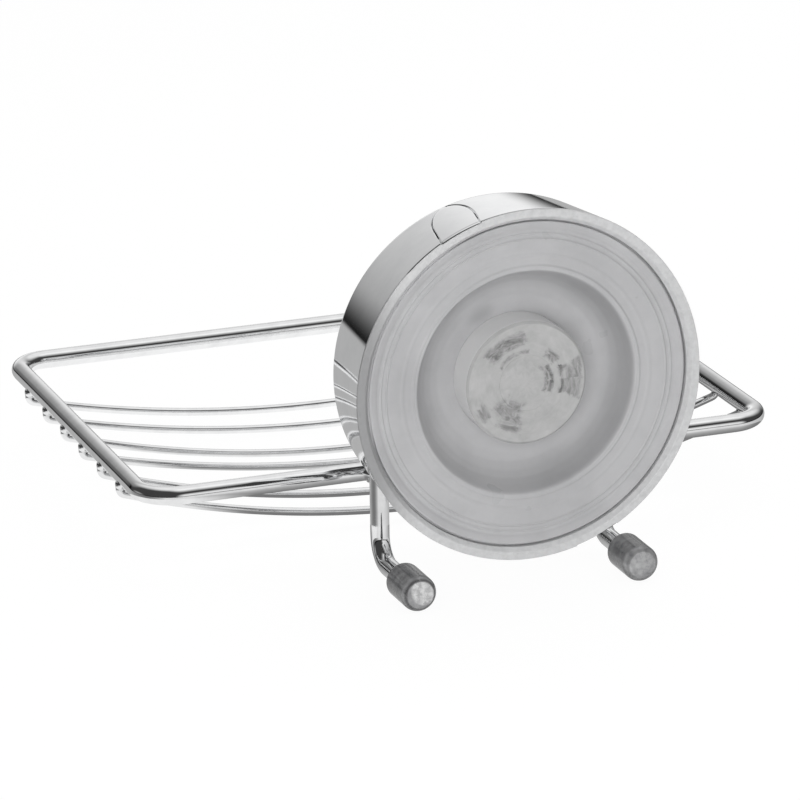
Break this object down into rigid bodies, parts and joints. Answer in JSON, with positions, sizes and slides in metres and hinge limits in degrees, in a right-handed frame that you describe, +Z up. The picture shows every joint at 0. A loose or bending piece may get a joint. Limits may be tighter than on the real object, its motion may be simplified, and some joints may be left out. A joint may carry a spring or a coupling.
{
  "type": "suction soap holder",
  "caption": "Chromed wire soap basket carried by a round twist-lock suction housing, with two capped wire feet that lean on the wall.",
  "frame": {"origin": "on the wall, on the axis of the suction housing", "axes": "+Y along the housing's axis into the wall, +Z up, +X along the long side of the basket; the basket reaches into the room along -Y"},
  "size_m": [0.156, 0.1577, 0.0913],
  "materials": {
    "chrome_plating": "polished",
    "chrome_wire": "polished",
    "frosted_vinyl": "satin",
    "milky_vinyl": "gloss",
    "clear_plastic": "gloss",
    "smoky_vinyl": "gloss",
    "white_plastic": "satin",
    "spring_steel": "satin"
  },
  "bodies": {
    "housing": {"housing_shell": "chrome_plating", "rim_gasket": "frosted_vinyl", "suction_membrane": "milky_vinyl", "inner_base": "white_plastic", "wire_cover": "chrome_plating", "retaining_clip": "spring_steel", "return_spring": "spring_steel", "base_screw_1": "spring_steel", "base_screw_2": "spring_steel", "base_screw_3": "spring_steel", "basket_frame": "chrome_wire", "support_wire": "chrome_wire", "basket_wire_1": "chrome_wire", "basket_wire_2": "chrome_wire", "basket_wire_3": "chrome_wire", "basket_wire_4": "chrome_wire", "basket_wire_5": "chrome_wire", "basket_wire_6": "chrome_wire", "basket_arm_left": "chrome_wire", "basket_arm_right": "chrome_wire", "foot_cap_left": "smoky_vinyl", "foot_cap_right": "smoky_vinyl"},
    "knob": {"lock_knob": "chrome_plating", "cam_ring": "white_plastic", "knob_cap": "chrome_plating"},
    "stem": {"suction_hub": "clear_plastic", "stem_shaft": "white_plastic", "drive_pin": "spring_steel"},
    "tab": {"release_tab": "chrome_plating"}
  },
  "joints": [
    {"name": "knob_turn", "type": "hinge", "parent": "housing", "child": "knob", "pos_m": [0, -0.035, 0], "axis": [0, 1, 0], "range_deg": [0, 90]},
    {"name": "stem_slide", "type": "slide", "parent": "housing", "child": "stem", "axis": [0, -1, 0], "range_m": [0, 0.0045], "deforming": ["return_spring", "suction_membrane"]},
    {"name": "tab_lift", "type": "hinge", "parent": "housing", "child": "tab", "pos_m": [0.01594, -0.0006, 0.03756], "axis": [-0.9205, 0, 0.3907], "range_deg": [0, 70], "stiffness_Nm_per_rad": 0.001}
  ],
  "couplings": [
    {"joint": "stem_slide", "follows": "knob_turn", "m_per_rad": 0.0028647}
  ]
}
